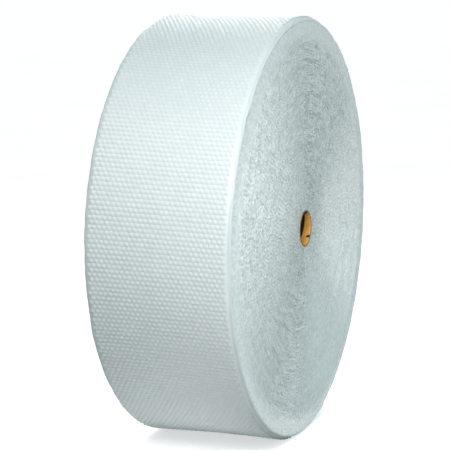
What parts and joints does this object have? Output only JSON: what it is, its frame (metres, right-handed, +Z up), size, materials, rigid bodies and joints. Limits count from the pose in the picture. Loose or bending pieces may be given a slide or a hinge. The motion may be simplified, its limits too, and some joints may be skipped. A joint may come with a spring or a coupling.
{
  "type": "bubble wrap roll",
  "caption": "Large narrow roll of small-bubble cushioning film wound on an open cardboard core, standing on its curved side.",
  "frame": {"origin": "centre of the footprint, on the floor, below the middle of the roll's width", "axes": "+X along the winding axis, out of the end that shows; +Y to the back; +Z up"},
  "size_m": [0.305, 0.8866, 0.8798],
  "materials": {
    "bubble_film": "clear polyethylene bubble film, many turns deep, so pale blue-green white; glossy",
    "kraft_cardboard": "matte spiral-wound kraft paper"
  },
  "bodies": {
    "root": {"bubble_film_roll": "bubble_film", "core_tube": "kraft_cardboard"}
  },
  "joints": []
}
